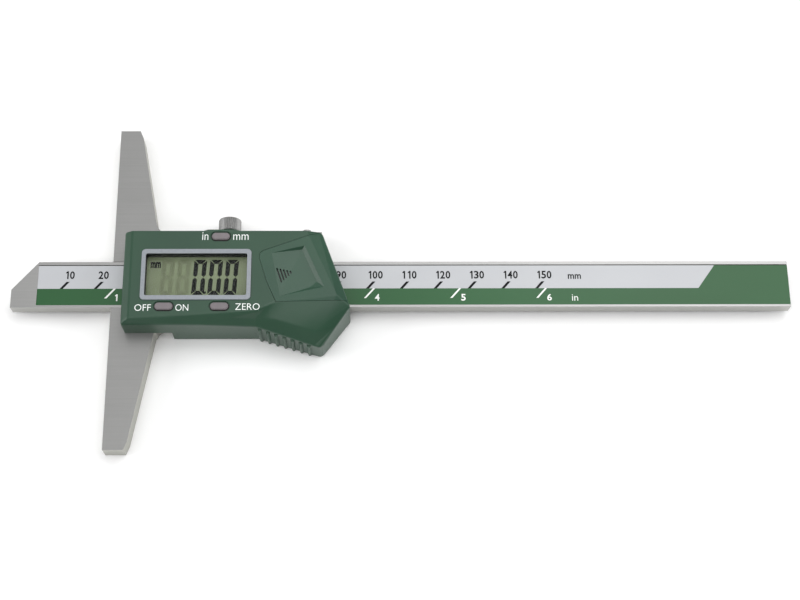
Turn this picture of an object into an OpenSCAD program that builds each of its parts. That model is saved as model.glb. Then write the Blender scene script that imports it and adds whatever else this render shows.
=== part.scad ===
// Digital depth caliper, 150 mm range. All sizes are millimetres.
// The origin lies on the measuring face of the base, at the middle of the beam, on the surface
// that the base lies on. X runs along the beam, away from the work. Z is up, towards the display.

/* [Beam] */
// Width of the beam
beam_width = 14.3; // [13.6:0.1:15]
// Thickness of the beam
beam_thick = 4; // [3.4:0.1:4.4]
// How far the beam stands out past the measuring face
depth_shown = 29.4; // [5:0.1:45]
// Width of the flat measuring tip
tip_flat = 5.6; // [4:0.1:8]
// Length of the slanted side behind the tip
tip_bevel = 7.6; // [4:0.1:10]
// Measuring range
measure_range = 150; // [140:1:150]
// How far the beam reaches past its stop plate
beam_tail = 3.6; // [1:0.1:30]

/* [Scale] */
// Distance from the tip to the start of the scale
label_start = 7.5; // [6:0.1:12]
// Depth of the recess that holds the scale
recess_depth = 0.75; // [0.6:0.05:1]
// Width of the bright rim behind the scale
rim_back = 1.2; // [0.8:0.05:1.6]
// Width of the bright rim in front of the scale
rim_front = 0.75; // [0.5:0.05:1.2]
// Open groove between the scale and the back rim
rim_groove = 0.22; // [0.1:0.02:0.4]
// Thickness of the sensor strip under the printed scale
strip_thick = 0.5; // [0.3:0.05:0.55]
// Thickness of the printed scale
label_thick = 0.15; // [0.1:0.01:0.2]

/* [Base and slider frame] */
// Length of the base across the beam
base_length = 100; // [80:1:150]
// Width of the base at its ends
base_end = 6.45; // [5:0.05:9]
// Growth of the base's width for each millimetre towards the beam
base_taper = 0.187; // [0.12:0.005:0.22]
// Length of the cut corner at each end of the base
base_corner = 2.4; // [1:0.1:4]
// Width of the cut corner at each end of the base
base_corner_x = 0.55; // [0.3:0.05:1.5]
// Thickness of the base and of the slider frame
frame_thick = 6.1; // [5.8:0.1:8]
// Length of the slider frame along the beam
frame_length = 61.5; // [61:0.1:61.8]
// Distance from the beam's middle to the back of the slider frame
frame_back = 16.6; // [15.5:0.1:17.5]
// Distance from the beam's middle to the front of the slider frame
frame_front = 13; // [12.9:0.05:13.15]
// Radius where the base runs into the slider frame
root_fillet = 2.2; // [1:0.1:3]
// Height of the beam above the surface that the base lies on
beam_lift = 2; // [1.7:0.05:2.05]
// Running clearance round the beam
run_clear = 0.05; // [0.03:0.01:0.08]

/* [Gib and lock] */
// Thickness of the gib strip
gib_thick = 0.95; // [0.7:0.05:1]
// Length of the gib strip
gib_length = 52; // [46:1:53]
// Diameter of the gib screws
gib_screw_d = 2.5; // [2:0.1:3]
// How far the gib screws stand out of the frame
gib_screw_out = 1.2; // [0.5:0.1:3]
// Place of the left gib screw along the beam
gib_screw_left = 13; // [12.5:0.1:16]
// Place of the right gib screw along the beam
gib_screw_right = 57; // [53:0.1:57]
// Place of the lock screw along the beam
lock_x = 33.9; // [28:0.1:38]
// Diameter of the lock screw's head
lock_head_d = 6.7; // [5.5:0.1:7.4]
// Length of the lock screw's head
lock_head_l = 4.35; // [3.5:0.05:7]
// Number of knurls round the head
lock_knurls = 36; // [24:2:48]
// Diameter of the lock screw's thread
lock_thread_d = 3; // [2.5:0.1:3.2]

/* [Housing] */
// Place of the housing's left wall
housing_left = 4.4; // [4:0.1:5]
// Distance from the beam's middle to the housing's back wall
housing_back = 13.3; // [13.2:0.05:14]
// Distance from the beam's middle to the housing's front wall
housing_front = 15.1; // [15:0.05:15.8]
// Height of the housing's top
housing_top = 15.5; // [15.4:0.05:16.4]
// Height of the skirt's lower edge
skirt_low = 0.5; // [0.3:0.1:1.5]
// Wall of the housing
wall = 1.6; // [1.4:0.05:1.7]
// Radius of the moulded edges
edge_r = 0.5; // [0.3:0.05:0.7]
// Radius of the right end's corner at the back wall
corner_r = 1.3; // [0.6:0.1:2]
// Place of the housing's right end at its back wall
back_right = 62.2; // [62:0.1:64]
// Place of the housing's nose along the beam
nose_x = 70.2; // [69:0.1:73]
// Distance of the nose in front of the beam's middle
nose_y = 9.8; // [9.5:0.1:11]
// Place where the thumb grip starts
grip_x = 43; // [42:0.1:44]
// Place of the thumb grip's corner along the beam
grip_tip_x = 61.8; // [60:0.1:63]
// Distance of the thumb grip's corner in front of the beam's middle
grip_tip_y = 20.9; // [20:0.1:23]
// Number of ribs on the thumb grip
grip_ribs = 7; // [5:1:8]
// Distance from rib to rib
rib_pitch = 2.48; // [2.2:0.02:2.6]
// How far a rib stands out
rib_out = 0.6; // [0.4:0.05:0.9]
// Width of a rib at its foot
rib_w = 1.3; // [0.9:0.05:1.8]

/* [Display] */
// Middle of the display along the beam
display_x = 25.7; // [25:0.1:26]
// Middle of the display in front of the beam's middle
display_y = 0.45; // [0.2:0.05:0.6]
// Width of the clear opening
window_w = 29.3; // [28:0.1:29.6]
// Depth of the clear opening
window_h = 12.9; // [12:0.1:13]
// Width of the bezel's face at the left and right of the opening
bezel_side = 1.2; // [1:0.05:1.4]
// Width of the bezel's face behind and before the opening
bezel_edge = 1.35; // [1.1:0.05:1.4]
// How far the bezel stands above the housing
bezel_proud = 0.3; // [0.1:0.05:0.6]
// Distance from the window's top down to the display glass
display_sink = 2.6; // [2:0.1:3]

/* [Buttons] */
// Length of a button
button_l = 5.2; // [4.6:0.1:5.6]
// Width of a button
button_w = 2.2; // [1.8:0.1:2.3]
// How far a button stands above the housing
button_proud = 0.35; // [0.1:0.05:0.8]
// Travel of a button
button_travel = 0.35; // [0.2:0.05:0.4]
// Place of the on/off button along the beam
on_off_x = 16.8; // [15:0.1:18]
// Place of the zero button along the beam
zero_x = 32.7; // [31:0.1:34]
// Distance of both front buttons in front of the beam's middle
front_button_y = 10.2; // [10:0.05:10.4]
// Place of the unit button along the beam
unit_x = 32.5; // [31:0.1:34]
// Distance of the unit button behind the beam's middle
unit_y = 11.4; // [11.3:0.05:11.5]

/* [Battery] */
// Diameter of the button cell
cell_d = 11.6; // [10:0.1:11.8]
// Height of the button cell
cell_h = 5.4; // [4.2:0.1:5.4]
// Place of the cell along the beam
cell_x = 54; // [53.8:0.1:54.2]
// Distance of the cell behind the beam's middle
cell_y = 0.8; // [0:0.1:1]
// Gap of the seam round the battery cover
seam = 0.1; // [0.06:0.01:0.15]
// Depth of the thumb recess at its right end
recess_end = 0.9; // [0.5:0.05:1]
// Number of grooves in the arrow
arrow_grooves = 5; // [3:1:6]
// Thickness of the battery cover
cover_thick = 1.85; // [1.7:0.05:1.9]

/* [Fasteners] */
// Thread diameter of the housing screws
housing_screw_d = 2.2; // [1.8:0.1:2.2]
// Thread diameter of the board screws
board_screw_d = 1.4; // [1.2:0.1:1.6]
// Thread diameter of the stop screws
stop_screw_d = 2; // [1.6:0.1:2.2]
// Thickness of the stop plate
stop_thick = 1.5; // [1:0.1:1.6]
// Length of the stop plate
stop_length = 13; // [8:0.5:14]
// Travel past the measuring range before the stop meets the frame
stop_spare = 1.4; // [0.5:0.1:3]

/* [Hidden] */

round_fn = 48;
eps = 0.01;

// Heights
beam_low = beam_lift;
beam_top = beam_low + beam_thick;
channel_floor = beam_low - run_clear;
channel_half = beam_width / 2 + run_clear;
board_low = frame_thick;
board_thick = 1;
board_top = board_low + board_thick;
ceiling = housing_top - wall;

// Beam
tip_x = -depth_shown;
recess_low = beam_top - recess_depth;
recess_y0 = -beam_width / 2 + rim_front;
recess_y1 = beam_width / 2 - rim_back + rim_groove;
label_gap = 0.03;

// Stop
stop_x = frame_length + measure_range - depth_shown + stop_spare;
stop_y = 4;
beam_end = stop_x + stop_length + beam_tail;
beam_length = beam_end - tip_x;
stop_head_d = stop_screw_d * 1.8;
stop_head_h = 0.8;
stop_screw_l = beam_thick - recess_depth - 0.6;

// Gib
gib_slot_x = 6;
gib_slot_clear = 0.3;
gib_y0 = channel_half;
gib_y1 = gib_y0 + gib_thick;
gib_gap = 0.05;
gib_screw_slot = 0.4;
gib_screw_slot_deep = 0.7;
gib_dimple_d = 1.6;
gib_dimple_deep = 0.3;
lock_z = beam_low + beam_thick / 2;
lock_neck_d = lock_thread_d + 1.4;
lock_neck_l = 0.4;
thread_clear = 0.05;

// Housing stations
bevel_left = 2.2;
bevel_drop = 1.5;
front_slope = 1.1;
crest_left_y = 1;
crest_grip_y = 3.4;
fold_left = [48.9, -8.8];
right_bevel_back = 4.8;
right_bevel_nose = [3.8, 3];
right_drop = 1.8;
nose_drop = 1.6;
grip_start_drop = 4.1;
grip_tip_drop = 6.1;
wall_left_drop = 1.9;
wall_mid_x = 27;
wall_mid_drop = 2.3;
arc_steps = 3;
skirt_x = 18.3;
rib_end = 1.2;
rib_root = 0.4;
rib_start = 1.05;
plain_x = [16, wall_mid_x, 36];
band_rise = 0.92;
band_start = 1.8;
band_mid = 3.3;
band_end = 3.5;
grip_mid = 0.33;
tip_before = [0.9, 0.27];
tip_after = [1.1, 1.4];
crease_wall = [1.8, 0.55];
low_cut = -1;
reach = 2 * housing_front;
beyond = nose_x + 14;

// Board, bosses and screws
board_x0 = 6.5;
board_x1 = 60.5;
board_edge_gap = 0.2;
boss_d = 3.9;
boss_clear = 0.25;
housing_screw_spots = [[8.9, 10.4], [8.9, -11], [46.4, 10.2], [46.8, -11]];
board_screw_spots = [[24.5, 10.2], [25, -11.2], [52.5, 10.4], [56.2, -10.8]];
screw_head_k = 1.7;
housing_head_h = 1.2;
housing_head_sink = 0.3;
housing_screw_l = 7.6;
board_head_h = 0.7;
board_screw_l = 3.6;

// Display
bezel_w = window_w + 2 * bezel_side;
bezel_h = window_h + 2 * bezel_edge;
bezel_thick = 1.4;
window_r = 0.5;
window_thick = 0.8;
window_sink = 0.6;
bezel_top = housing_top + bezel_proud;
bezel_low = bezel_top - bezel_thick;
rebate = 0.45;
window_top = bezel_top - window_sink;
window_low = window_top - window_thick;
glass_top = window_top - display_sink;
glass_thick = 1.5;
glass_low = glass_top - glass_thick;
slip = 0.05;
holder_wall = 0.6;
holder_flange = 1.1;
bezel_r = 1.2;
contact_w = 1.8;
chip_d = 7;
chip_h = 0.8;

// Buttons
button_top = housing_top + button_proud;
button_gap = 0.2;
dome_h = 0.25;
dome_d = 2.2;
stem_d = 1.6;
flange_h = 0.55;
flange_out = 0.6;
flange_back = 0.25;
flange_in = 0.75;
stem_in = 1;
bulge_out = 0.5;

// Battery
cell_clear = 0.3;
well_wall = 1;
deck_thick = 1.1;
deck_rim = 0.5;
side_contact_w = 3.2;
side_contact_room = 2.5;
side_contact_thick = 0.3;
side_contact_foot = 1.8;
spring_foot = [6.4, 3];
spring_boss = 2.4;
spring_thick = 0.25;
deck_top = housing_top - cover_thick - 0.05;
cell_low = deck_top - 0.15 - cell_h;
lip_back = 2.2;
lip_depth = 2.3;
cover_turn = 18;
cover_gap = 2.25;
cover_left = display_x + bezel_w / 2 + cover_gap;
seam_left = [cover_left, 5];
seam_left_turn = [cover_left + 0.3, 6.2];
seam_back_turn = [cover_left + 1.2, 6.95];
seam_back_end = [cover_left + 22.2, 14.6];
seam_front_end = -7.7;
seam_front_turn = [cover_left + 5.1, -8.75];
seam_waist = [cover_left + 2.3, -2.6];
recess_rim = [[47.2, 6.2], [56.9, 8.5], [62.7, -4.3], [49.9, -7.2]];
recess_floor = [[56.1, 7.6], [60.6, -2.4]];
recess_shelf = [58.5, -4.2];
arrow_base = [49.4, -0.8];
arrow_pitch = 0.86;
arrow_w = 0.42;
arrow_half = 2.45;
arrow_depth = 0.45;
tongue_spot = [cover_left + 0.7, 1];
tongue_l = 1.7;
tongue_root = 1;
tongue_w = 5;
tongue_thick = 0.35;

function mix(a, b, t) = a + (b - a) * t;
function bend(a, c, b, t) = (1 - t) * (1 - t) * a + 2 * t * (1 - t) * c + t * t * b;
function toward(a, b) = (b - a) / norm(b - a);

// A path with each inner corner replaced by a short arc of the same number of points
function soften(path, r) = concat(
    [path[0]],
    [for (i = [1:len(path) - 2])
        let (c = path[i],
            a = c + toward(c, path[i - 1]) * min(r, 0.45 * norm(path[i - 1] - c)),
            b = c + toward(c, path[i + 1]) * min(r, 0.45 * norm(path[i + 1] - c)))
        for (k = [0:arc_steps]) bend(a, c, b, k / arc_steps)],
    [path[len(path) - 1]]);

// Height that the wall's upper edge lies below the top, left of the grip
function wall_drop(x) = lookup(x, [[housing_left, wall_left_drop], [wall_mid_x, wall_mid_drop],
    [grip_x, grip_start_drop]]);

// Distance from the front wall to the crest of the slope, left of the grip
function crest_in(x) = lookup(x, [[housing_left, crest_left_y], [grip_x, crest_grip_y]]);

// One section of the housing left of the grip: front foot, wall edge, knee, crest, back edge, back foot
function left_section(x, inset, drop, g, low) =
    let (y0 = -housing_front + inset + g,
        y1 = housing_back - inset - g,
        top = housing_top - drop - g,
        edge = min(housing_top - wall_drop(x) - 1.25 * g, top - 0.3),
        crest = max(-housing_front + crest_in(x) - drop / front_slope + 0.6 * g, y0 + 0.35))
    [[x, y0, low], [x, y0, edge], mix([x, y0, edge], [x, crest, top], 0.5),
        [x, crest, top], [x, y1, top], [x, y1, low]];

// One section through the grip: t runs from 0 at its start to 1 at the crease of the right bevel
function grip_section(t, g, low) =
    let (bevel_y = -nose_y + right_bevel_nose[1],
        wall_pt = mix([grip_x, -housing_front + g, housing_top - grip_start_drop - 1.25 * g],
            [grip_tip_x - crease_wall[0] - 0.9 * g, -grip_tip_y + crease_wall[1] + 1.2 * g,
                housing_top - grip_tip_drop - 1.25 * g], t),
        band = lookup(t, [[0, band_start], [grip_mid, band_mid], [1, band_end]]),
        fold_x = lookup(t, [[0, grip_x], [grip_mid, fold_left[0]],
            [1, nose_x - right_bevel_nose[0] - 0.6 * g]]),
        fold_y = lookup(t, [[0, -housing_front + crest_grip_y], [grip_mid, fold_left[1]], [1, bevel_y]]),
        back_x = mix(grip_x, back_right - right_bevel_back - 0.3 * g, t))
    [[wall_pt[0], wall_pt[1], low], wall_pt, wall_pt + [0.3 * t, band, band_rise * band],
        [fold_x, fold_y + 0.6 * g, housing_top - g], [back_x, housing_back - g, housing_top - g],
        [back_x, housing_back - g, low]];

// The last section, along the right wall: t runs over the rounding of its upper edge
function end_section(t, g, low) =
    let (inner = grip_section(1, g, low),
        tip = [grip_tip_x, -grip_tip_y],
        front = bend(tip + [-tip_before[0], tip_before[1]], tip, tip + tip_after, t) + [-0.9 * g, 1.2 * g],
        nose = [nose_x - 1.1 * g, -nose_y + 0.1 * g, housing_top - nose_drop - 1.1 * g],
        knee = [mix(tip[0] + tip_after[0], nose_x, 0.45) - g,
            mix(tip[1] + tip_after[1], -nose_y, 0.45) + 0.6 * g,
            mix(housing_top - grip_tip_drop, housing_top - nose_drop, 0.5) + 0.3 - 1.2 * g],
        back_z = housing_top - right_drop - g,
        back = bend([back_right - corner_r, housing_back], [back_right, housing_back],
            [back_right, housing_back - corner_r], t) - [1.05 * g, g],
        down = [0, 0, -edge_r],
        front_z = bend(housing_top - grip_tip_drop + 0.1, housing_top - grip_tip_drop,
            housing_top - grip_tip_drop - edge_r, t) - 1.25 * g,
        edge_z = bend(back_z + corner_r * right_drop / right_bevel_back, back_z, back_z - edge_r, t))
    [[front[0], front[1], low], [front[0], front[1], front_z],
        bend(knee + toward(knee, inner[2]) * edge_r, knee, knee + down, t),
        bend(nose + toward(nose, inner[3]) * edge_r, nose, nose + down, t),
        [back[0], back[1], edge_z], [back[0], back[1], low]];

// The housing's outer form as a skin over its sections; g moves every face inwards
module housing_form(g = 0, low = low_cut) {
    slope = bevel_drop / bevel_left;
    left = housing_left + g;
    ends = [for (k = [0:arc_steps]) let (t = k / arc_steps)
        left_section(left + edge_r * t * t, edge_r * (1 - t) * (1 - t),
            bevel_drop - bend(-edge_r, 0, edge_r * slope, t), g, low)];
    crease = [for (k = [0:arc_steps]) let (t = k / arc_steps)
        left_section(left + bevel_left + edge_r * (t * t - (1 - t) * (1 - t)), 0,
            slope * edge_r * (1 - t) * (1 - t), g, low)];
    plain = [for (x = plain_x) left_section(x, 0, 0, g, low)];
    grip = [for (t = [0, grip_mid / 2, grip_mid, 0.66, 1]) grip_section(t, g, low)];
    finish = [for (k = [0:arc_steps]) end_section(k / arc_steps, g, low)];
    rings = [for (s = concat(ends, crease, plain, grip, finish)) soften(s, edge_r)];
    n = len(rings);
    m = len(rings[0]);
    last = rings[n - 1];
    feet = [for (j = [2:m - 3]) [last[j][0], last[j][1], low]];
    points = concat([for (r = rings) each r], feet);
    base = (n - 1) * m;
    // Point of the lower edge under point j of the last section
    function foot(j) = j <= 1 ? base : j >= m - 2 ? base + m - 1 : n * m + j - 2;
    skin = [for (i = [0:n - 2]) for (j = [0:m - 2])
        each [[i * m + j, i * m + j + 1, (i + 1) * m + j + 1],
            [i * m + j, (i + 1) * m + j + 1, (i + 1) * m + j]]];
    end = [for (j = [1:m - 3])
        each [[base + j, base + j + 1, foot(j + 1)], [base + j, foot(j + 1), foot(j)]]];
    start = [[for (j = [m - 1:-1:0]) j]];
    under = [concat([for (i = [0:n - 1]) i * m], [for (j = [2:m - 3]) foot(j)],
        [for (i = [n - 1:-1:0]) i * m + m - 1])];
    polyhedron(points, concat(skin, end, start, under), convexity = 8);
}

// Flat pill, its length along X
module pill(l, w) {
    for (s = [-1, 1]) translate([s * (l - w) / 2, 0]) circle(d = w, $fn = round_fn);
    square([l - w, w], center = true);
}

// Rectangle with round corners, made of plain shapes so that its faces stay true
module round_rect(w, h, r) {
    for (x = [-1, 1]) for (y = [-1, 1])
        translate([x * (w / 2 - r), y * (h / 2 - r)]) circle(r = r, $fn = round_fn);
    square([w - 2 * r, h], center = true);
    square([w, h - 2 * r], center = true);
}

module at_display() {
    translate([display_x, -display_y, 0]) children();
}

// Outline of the battery cover in plan; c moves its seam outwards
function seam_outline(c) = [seam_left_turn + [-c, c], seam_back_turn + [-c / 2, c], seam_back_end + [0, c],
    [beyond, seam_back_end[1] + c], [beyond, seam_front_end - c], seam_front_turn - [c, c],
    seam_waist - [c, 0], seam_left - [c, 0]];

// Band along the right wall where the cover has its lip; c moves its inner side outwards
function lip_outline(c) =
    let (run = [nose_x - back_right, -nose_y - housing_back] / 16)
    [[back_right - lip_back - c, housing_back] - 4 * run,
        [nose_x - lip_back - c, -nose_y] + 4 * run, [beyond, -reach], [beyond, reach]];

// Space of the battery cover: a plate, with a lip down the right wall
module cover_space(c, low) {
    translate([0, 0, low]) linear_extrude(6) polygon(seam_outline(c));
    intersection() {
        translate([0, 0, low - lip_depth]) linear_extrude(8) polygon(seam_outline(c));
        translate([0, 0, low - lip_depth]) linear_extrude(8) polygon(lip_outline(c));
    }
}

module beam() {
    color("silver") difference() {
        translate([0, 0, beam_low]) linear_extrude(beam_thick) polygon([
            [tip_x, -beam_width / 2], [beam_end, -beam_width / 2], [beam_end, beam_width / 2],
            [tip_x + tip_bevel, beam_width / 2], [tip_x, -beam_width / 2 + tip_flat]]);
        translate([tip_x + label_start, recess_y0, recess_low])
            cube([beam_length, recess_y1 - recess_y0, recess_depth + 1]);
        for (s = [-1, 1]) translate([stop_x + stop_length / 2, s * stop_y, beam_low - eps])
            cylinder(d = stop_screw_d + 2 * thread_clear, h = stop_screw_l + 0.2, $fn = 32);
    }
}

module scale_layer(low, thick) {
    y0 = recess_y0 + label_gap;
    y1 = beam_width / 2 - rim_back;
    translate([tip_x + label_start + label_gap, y0, low])
        cube([beam_length - label_start - 2 * label_gap, y1 - y0, thick]);
}

module sensor_strip() {
    color("darkgoldenrod") scale_layer(recess_low, strip_thick);
}

module scale_label() {
    color("gainsboro") scale_layer(recess_low + strip_thick, label_thick);
}

module stop_plate() {
    color("silver") difference() {
        translate([stop_x + stop_length / 2, 0, beam_low - stop_thick])
            linear_extrude(stop_thick) round_rect(stop_length, beam_width - 1, 1);
        for (s = [-1, 1]) translate([stop_x + stop_length / 2, s * stop_y, 0]) {
            translate([0, 0, -1]) cylinder(d = stop_screw_d + 0.2, h = 4, $fn = 32);
            translate([0, 0, beam_low - stop_thick - eps])
                cylinder(d = stop_head_d + 0.2, h = stop_head_h + 0.1, $fn = 32);
        }
    }
}

// Screw with a cylinder head and a driver recess, its head's outer face at z = 0, pointing up
module screw_up(d, l, head_d, head_h) {
    difference() {
        union() {
            cylinder(d = head_d, h = head_h, $fn = 32);
            cylinder(d = d, h = head_h + l, $fn = 32);
        }
        for (a = [0, 90]) rotate(a)
            translate([-head_d * 0.33, -0.15 * d, -eps]) cube([head_d * 0.66, 0.3 * d, head_h * 0.55]);
    }
}

module stop_screws() {
    color("gray") for (s = [-1, 1])
        translate([stop_x + stop_length / 2, s * stop_y, beam_low - stop_thick + 0.05])
            screw_up(stop_screw_d, stop_thick - stop_head_h + stop_screw_l - 0.1, stop_head_d, stop_head_h);
}

// Half of the outline of the base and the slider frame, seen from above.
// side is 1 for the half behind the beam's middle; reach is how far the slider frame goes there.
module frame_half_outline(side, reach) {
    half = base_length / 2;
    root = base_end + base_taper * (half - reach);
    mirror([0, side < 0 ? 1 : 0]) difference() {
        polygon([[0, 0], [frame_length, 0], [frame_length, reach], [root + root_fillet, reach],
            [root - base_taper * root_fillet, reach + root_fillet],
            [base_end + base_taper * base_corner, half - base_corner],
            [base_end - base_corner_x, half], [0, half]]);
        translate([root + root_fillet, reach + root_fillet]) circle(r = root_fillet, $fn = round_fn);
    }
}

module slider_frame() {
    gib_slot_l = gib_length + 2 * gib_slot_clear;
    color("silver") difference() {
        linear_extrude(frame_thick) {
            frame_half_outline(1, frame_back);
            frame_half_outline(-1, frame_front);
        }
        translate([-1, -channel_half, channel_floor])
            cube([frame_length + 2, 2 * channel_half, frame_thick]);
        translate([gib_slot_x, 0, channel_floor])
            cube([gib_slot_l, gib_y1 + gib_gap, frame_thick]);
        translate([lock_x, gib_y0, lock_z]) rotate([-90, 0, 0])
            cylinder(d = lock_thread_d + 2 * thread_clear, h = frame_back, $fn = round_fn);
        for (x = [gib_screw_left, gib_screw_right]) translate([x, gib_y0, lock_z]) rotate([-90, 0, 0])
            cylinder(d = gib_screw_d + 2 * thread_clear, h = frame_back, $fn = 32);
        for (p = housing_screw_spots) translate([p[0], p[1], -1]) {
            cylinder(d = housing_screw_d + 0.3, h = frame_thick + 2, $fn = 32);
            cylinder(d = housing_screw_d * screw_head_k + 0.3, h = 1 + housing_head_sink + housing_head_h,
                $fn = 32);
        }
        for (p = board_screw_spots) translate([p[0], p[1], board_low - board_screw_l - 0.2])
            cylinder(d = board_screw_d + 2 * thread_clear, h = frame_thick, $fn = 32);
    }
}

module gib_strip() {
    color("goldenrod") difference() {
        translate([gib_slot_x + gib_slot_clear, gib_y0, beam_low])
            cube([gib_length, gib_thick, beam_thick - 0.1]);
        for (x = [gib_screw_left, gib_screw_right]) translate([x, gib_y1 + gib_dimple_deep, lock_z])
            rotate([90, 0, 0])
                cylinder(d1 = gib_dimple_d, d2 = gib_dimple_d / 4, h = 2 * gib_dimple_deep, $fn = 32);
    }
}

// Headless screw with a driver slot, from its tip up
module slotted_screw(d, l) {
    difference() {
        cylinder(d = d, h = l, $fn = 32);
        translate([-d, -gib_screw_slot / 2, l - gib_screw_slot_deep]) cube([2 * d, gib_screw_slot, 2]);
    }
}

module gib_screws() {
    l = frame_back - gib_y1 - gib_gap;
    color("gray") for (s = [[gib_screw_left, l + gib_screw_out / 2], [gib_screw_right, l + gib_screw_out]])
        translate([s[0], gib_y1 + gib_gap, lock_z]) rotate([-90, 0, 0]) slotted_screw(gib_screw_d, s[1]);
}

module lock_screw() {
    head_y = frame_back + lock_neck_l;
    r = lock_head_d / 2;
    color("silver") translate([lock_x, 0, lock_z]) rotate([-90, 0, 0]) difference() {
        union() {
            translate([0, 0, gib_y1 + gib_gap])
                cylinder(d = lock_thread_d, h = head_y - gib_y1, $fn = round_fn);
            translate([0, 0, head_y - lock_neck_l + 0.05])
                cylinder(d = lock_neck_d, h = lock_neck_l, $fn = round_fn);
            translate([0, 0, head_y]) rotate_extrude($fn = 72) polygon([[0, 0], [r - 0.5, 0], [r, 0.4],
                [r, lock_head_l - 0.5], [r - 0.12, lock_head_l - 0.22], [r - 0.5, lock_head_l],
                [0, lock_head_l]]);
        }
        for (i = [0:lock_knurls - 1]) rotate(i * 360 / lock_knurls)
            translate([r + 0.06, 0, head_y - eps]) rotate(45)
                translate([-0.21, -0.21, 0]) cube([0.42, 0.42, lock_head_l + 1]);
    }
}

// A rib of the grip, seen from above: a narrow ridge with a round crest
module rib_outline() {
    polygon([[-rib_w / 2, -rib_root], [-rib_w / 2, 0], [-0.15 * rib_w, 0.9 * rib_out], [0, rib_out],
        [0.15 * rib_w, rib_out], [0.3 * rib_w, 0.8 * rib_out], [rib_w / 2, 0], [rib_w / 2, -rib_root]]);
}

module grip_ribs() {
    a = [grip_x, -housing_front];
    b = [grip_tip_x - tip_before[0], -grip_tip_y + tip_before[1]];
    run = toward(a, b);
    turn = atan2(run[1], run[0]);
    full = norm(b - a);
    for (i = [0:grip_ribs - 1]) {
        s = rib_start + i * rib_pitch;
        p = a + run * s;
        top = housing_top - mix(grip_start_drop, grip_tip_drop, s / full) - rib_end;
        translate([p[0], p[1], low_cut]) rotate(turn) mirror([0, 1, 0])
            linear_extrude(top - low_cut) rib_outline();
    }
}

module button_holes(grow, low, high) {
    for (p = [[on_off_x, -front_button_y], [zero_x, -front_button_y], [unit_x, unit_y]])
        translate([p[0], p[1], low]) linear_extrude(high - low)
            pill(button_l + 2 * grow, button_w + 2 * grow);
}

// Room for a button's flange, cut out of the wall beside it, from low up to the ceiling
module flange_room(x, y, low) {
    translate([x, y, low]) linear_extrude(ceiling - low)
        square([button_l + 2 * flange_out + 0.6, button_w + 2 * flange_back + 0.3], center = true);
}

module housing() {
    frame_gap = 0.1;
    beam_pass = channel_half + 0.6;
    under = low_cut - 2;
    color("#3F6B52") difference() {
        union() {
            difference() {
                housing_form();
                housing_form(wall, low_cut - 1);
            }
            grip_ribs();
            translate([unit_x + 0.4, housing_back, frame_thick]) linear_extrude(ceiling + 1 - frame_thick)
                polygon([[-6.3, -wall / 2], [-5.8, 0], [-4.2, bulge_out], [3.6, bulge_out], [5.6, 0],
                    [6.1, -wall / 2]]);
            intersection() {
                housing_form(wall / 2);
                union() {
                    for (p = housing_screw_spots) translate([p[0], p[1], frame_thick])
                        cylinder(d = boss_d, h = 12, $fn = 32);
                    translate([0, 0, deck_top - deck_thick])
                        linear_extrude(ceiling + eps - deck_top + deck_thick)
                            polygon(seam_outline(seam + deck_rim));
                    translate([cell_x, cell_y, board_top + 0.1])
                        cylinder(r = cell_d / 2 + cell_clear + well_wall,
                            h = deck_top - board_top - 0.2, $fn = 64);
                }
            }
        }
        translate([-1, -reach, under]) cube([beyond, 2 * reach, skirt_low - under]);
        translate([-1, -frame_front - 0.3, under])
            cube([frame_length + frame_gap + 1, 2 * reach, frame_thick - under]);
        translate([-1, -reach, under]) cube([1 + skirt_x, 2 * reach, frame_thick - under]);
        translate([frame_length - 1, -beam_pass, under]) cube([beyond, 2 * reach, frame_thick - under]);
        cover_space(seam, deck_top);
        cover_tongue(seam);
        translate([cell_x, cell_y, board_low])
            cylinder(r = cell_d / 2 + cell_clear, h = housing_top, $fn = 64);
        translate([cell_x - cell_d / 2 - side_contact_room, cell_y - side_contact_w / 2 - 0.8, board_low])
            cube([side_contact_room + 1.5, side_contact_w + 1.6, deck_top - 2.2 - board_low]);
        at_display() translate([0, 0, ceiling - 1]) linear_extrude(wall + 2)
            round_rect(bezel_w + 2 * slip, bezel_h + 2 * slip, bezel_r + slip);
        button_holes(button_gap, board_low, housing_top + 1);
        button_holes(button_gap + 0.25, housing_top - 0.45, housing_top + 1);
        flange_room(unit_x, unit_y, board_low + eps);
        for (x = [on_off_x, zero_x]) flange_room(x, -front_button_y, ceiling - 1.2);
        for (p = housing_screw_spots) translate([p[0], p[1], under])
            cylinder(d = housing_screw_d + 2 * thread_clear,
                h = housing_head_sink + housing_head_h + housing_screw_l + 0.4 - under, $fn = 32);
    }
}

module housing_screws() {
    color("gray") for (p = housing_screw_spots) translate([p[0], p[1], housing_head_sink])
        screw_up(housing_screw_d, housing_screw_l, housing_screw_d * screw_head_k, housing_head_h);
}

module display_bezel() {
    color("#B4B6C0") at_display() translate([0, 0, bezel_low]) difference() {
        linear_extrude(bezel_top - bezel_low) round_rect(bezel_w, bezel_h, bezel_r);
        translate([0, 0, -1]) linear_extrude(2 + bezel_thick) round_rect(window_w, window_h, window_r);
        translate([0, 0, -1]) linear_extrude(1 + window_top - bezel_low)
            square([window_w + 2 * rebate, window_h + 2 * rebate], center = true);
    }
}

module display_window() {
    color("#C8D8D8") at_display() translate([0, 0, window_low]) linear_extrude(window_thick)
        square([window_w + 2 * rebate - 2 * slip, window_h + 2 * rebate - 2 * slip], center = true);
}

module display_glass() {
    color("#8C9678") at_display() translate([0, 0, glass_low]) linear_extrude(glass_thick)
        square([window_w + 2 * holder_wall - 2 * slip, window_h + 2 * holder_wall - 2 * slip], center = true);
}

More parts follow.
